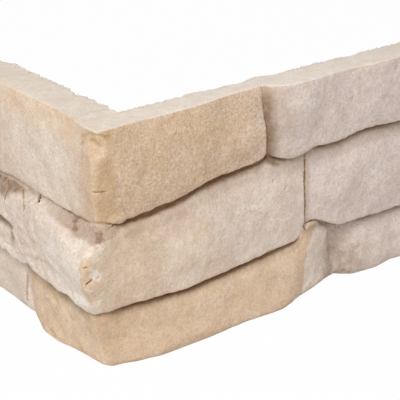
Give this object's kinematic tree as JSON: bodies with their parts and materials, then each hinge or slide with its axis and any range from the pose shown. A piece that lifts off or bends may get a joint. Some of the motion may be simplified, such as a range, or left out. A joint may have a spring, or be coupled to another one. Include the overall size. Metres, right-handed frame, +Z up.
{
  "type": "stone cladding corner piece",
  "caption": "L-shaped cast-stone cladding corner with flat backs for a wall's outer corner and a rough outer face moulded as courses of ledge stones.",
  "frame": {"origin": "middle of the bounding box, at the height of the base", "axes": "+X along the long leg, away from the outer corner; +Y along the short leg, away from the outer corner; +Z up, across the courses"},
  "size_m": [0.3144, 0.207, 0.15],
  "materials": {
    "cast_stone": "matt, rough, unglazed"
  },
  "bodies": {
    "root": {"cladding_corner": "cast_stone"}
  },
  "joints": []
}
